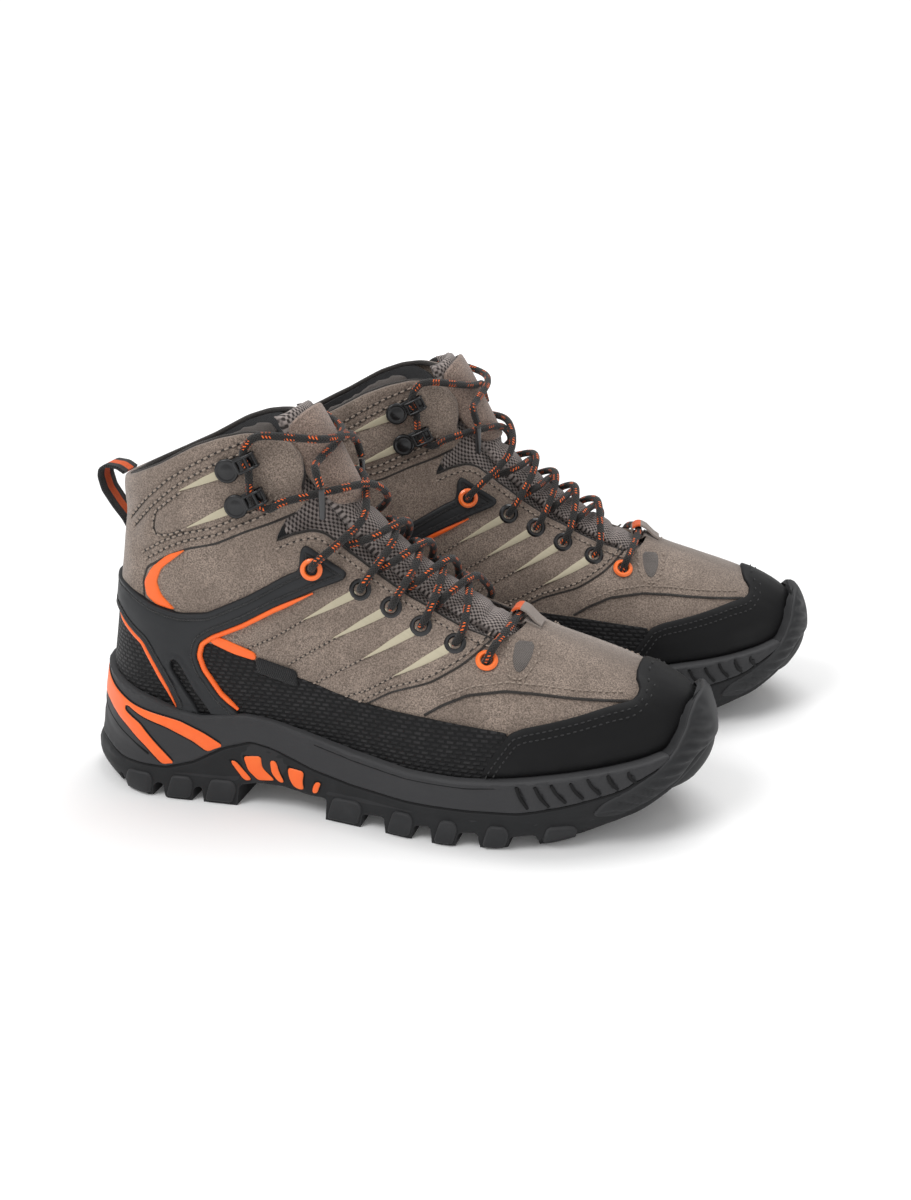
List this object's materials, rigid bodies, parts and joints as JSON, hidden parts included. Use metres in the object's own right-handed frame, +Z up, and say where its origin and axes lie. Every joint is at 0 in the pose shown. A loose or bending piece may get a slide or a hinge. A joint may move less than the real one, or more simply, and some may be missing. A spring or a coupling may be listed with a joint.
{
  "type": "pair of hiking boots",
  "caption": "Pair of mid-height lace-up hiking boots with lugged soles, heel cages, padded tongues and lace hooks.",
  "frame": {"origin": "on the ground, midway between the two boots", "axes": "+X towards the toes, +Y to the wearer's left, +Z up"},
  "size_m": [0.3463, 0.2414, 0.187],
  "materials": {
    "outsole_rubber": "matt black rubber",
    "midsole_foam": "dark grey moulded foam, satin",
    "orange_rubber": "orange moulded rubber",
    "shank_steel": "plain spring steel",
    "board": "pressed fibre board",
    "footbed_cloth": "foam with a knitted top",
    "suede": "taupe suede, short nap",
    "rand_cloth": "black coated weave",
    "toe_rubber": "smooth black rubber",
    "cage_plastic": "dark grey moulded plastic",
    "orange_trim": "orange trim, satin",
    "stiffener": "thermoplastic stiffener",
    "lining_mesh": "grey mesh lining",
    "pad_foam": "foam under mesh",
    "tongue_mesh": "grey padded mesh",
    "black_metal": "black lacquer",
    "orange_metal": "orange lacquer",
    "cream_film": "cream synthetic leather",
    "lace_cord": "black braid with orange flecks",
    "clear_tip": "black plastic sheath",
    "webbing": "grey and orange webbing",
    "loop_webbing": "orange and grey webbing",
    "tag_cloth": "plain black woven tag"
  },
  "bodies": {
    "right_boot": {"right_outsole": "outsole_rubber", "right_midsole": "midsole_foam", "right_heel_insert": "orange_rubber", "right_arch_ribs": "orange_rubber", "right_shank": "shank_steel", "right_insole_board": "board", "right_vamp": "suede", "right_quarters": "suede", "right_ankle_cuff": "suede", "right_mudguard": "rand_cloth", "right_toe_cap": "toe_rubber", "right_heel_cage": "cage_plastic", "right_piping": "orange_trim", "right_toe_puff": "stiffener", "right_heel_counter": "stiffener", "right_lining": "lining_mesh", "right_collar_pad": "pad_foam", "right_black_eyelets": "black_metal", "right_orange_eyelets": "orange_metal", "right_lace_hooks": "black_metal", "right_hook_rivets": "black_metal", "right_claw_stripes": "cream_film", "right_lace": "lace_cord", "right_lace_tips": "clear_tip", "right_lace_keeper": "webbing"},
    "right_tongue": {"right_tongue": "tongue_mesh", "right_tongue_patch": "suede"},
    "right_footbed": {"right_footbed": "footbed_cloth"},
    "right_pull_loop": {"right_pull_loop": "loop_webbing"},
    "right_side_tag": {"right_side_tag": "tag_cloth"},
    "left_boot": {"left_outsole": "outsole_rubber", "left_midsole": "midsole_foam", "left_heel_insert": "orange_rubber", "left_arch_ribs": "orange_rubber", "left_shank": "shank_steel", "left_insole_board": "board", "left_vamp": "suede", "left_quarters": "suede", "left_ankle_cuff": "suede", "left_mudguard": "rand_cloth", "left_toe_cap": "toe_rubber", "left_heel_cage": "cage_plastic", "left_piping": "orange_trim", "left_toe_puff": "stiffener", "left_heel_counter": "stiffener", "left_lining": "lining_mesh", "left_collar_pad": "pad_foam", "left_black_eyelets": "black_metal", "left_orange_eyelets": "orange_metal", "left_lace_hooks": "black_metal", "left_hook_rivets": "black_metal", "left_claw_stripes": "cream_film", "left_lace": "lace_cord", "left_lace_tips": "clear_tip", "left_lace_keeper": "webbing"},
    "left_tongue": {"left_tongue": "tongue_mesh", "left_tongue_patch": "suede"},
    "left_footbed": {"left_footbed": "footbed_cloth"},
    "left_pull_loop": {"left_pull_loop": "loop_webbing"},
    "left_side_tag": {"left_side_tag": "tag_cloth"}
  },
  "joints": [
    {"name": "right_tongue_lean", "type": "hinge", "parent": "right_boot", "child": "right_tongue", "pos_m": [0.05698, -0.06519, 0.076], "axis": [-0.0915, -0.9958, 0], "range_deg": [0, 2.5]},
    {"name": "right_footbed_lift", "type": "hinge", "parent": "right_boot", "child": "right_footbed", "pos_m": [0.10378, -0.06949, 0.017], "axis": [0.0915, 0.9958, 0], "range_deg": [0, 3]},
    {"name": "right_loop_swing", "type": "hinge", "parent": "right_boot", "child": "right_pull_loop", "pos_m": [-0.14712, -0.05146, 0.138], "axis": [0.0794, -0.0073, 0.9968], "range_deg": [-20, 20]},
    {"name": "right_tag_flap", "type": "hinge", "parent": "right_boot", "child": "right_side_tag", "pos_m": [-0.06632, -0.09563, 0.0726], "axis": [-0.9661, 0.0888, 0.2425], "range_deg": [0, 35]},
    {"name": "left_tongue_lean", "type": "hinge", "parent": "left_boot", "child": "left_tongue", "pos_m": [0.09998, 0.06519, 0.076], "axis": [0.0915, -0.9958, 0], "range_deg": [0, 2.5]},
    {"name": "left_footbed_lift", "type": "hinge", "parent": "left_boot", "child": "left_footbed", "pos_m": [0.14678, 0.06949, 0.017], "axis": [-0.0915, 0.9958, 0], "range_deg": [0, 3]},
    {"name": "left_loop_swing", "type": "hinge", "parent": "left_boot", "child": "left_pull_loop", "pos_m": [-0.10412, 0.05146, 0.138], "axis": [0.0794, 0.0073, 0.9968], "range_deg": [-20, 20]},
    {"name": "left_tag_flap", "type": "hinge", "parent": "left_boot", "child": "left_side_tag", "pos_m": [-0.02332, 0.09563, 0.0726], "axis": [0.9661, 0.0888, -0.2425], "range_deg": [0, 35]},
    {"name": "left_boot_lift", "type": "slide", "parent": "right_boot", "child": "left_boot", "axis": [0, 0, 1], "range_m": [0, 0.25]}
  ]
}
